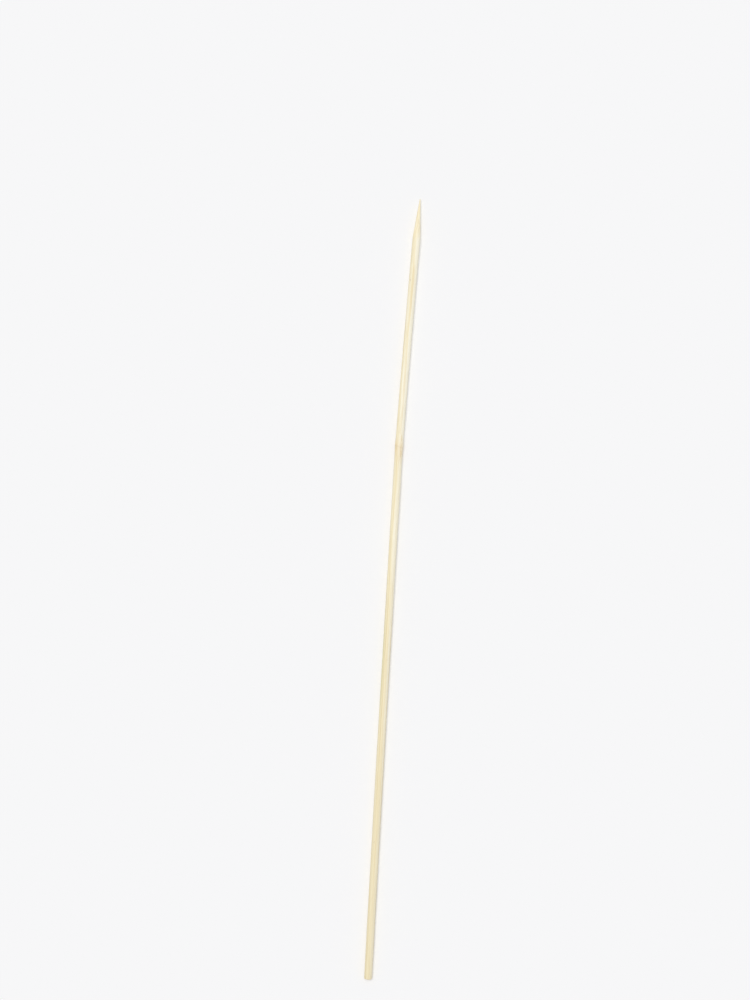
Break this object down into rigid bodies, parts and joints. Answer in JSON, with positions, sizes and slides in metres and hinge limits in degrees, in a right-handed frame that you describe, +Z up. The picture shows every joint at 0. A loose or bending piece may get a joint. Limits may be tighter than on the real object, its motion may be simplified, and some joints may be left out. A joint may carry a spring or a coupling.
{
  "type": "bamboo skewer",
  "caption": "Thin round bamboo rod, sawn square at one end and ground to a sharp point at the other, with a slight bend at a cane knot.",
  "frame": {"origin": "on the table below the middle of the skewer's box, lying on its side", "axes": "+Z up, +Y from the blunt end to the point, +X to the side, with the bow towards -X"},
  "size_m": [0.0048, 0.3, 0.003],
  "materials": {
    "bamboo": "satin"
  },
  "bodies": {
    "root": {"skewer": "bamboo"}
  },
  "joints": []
}
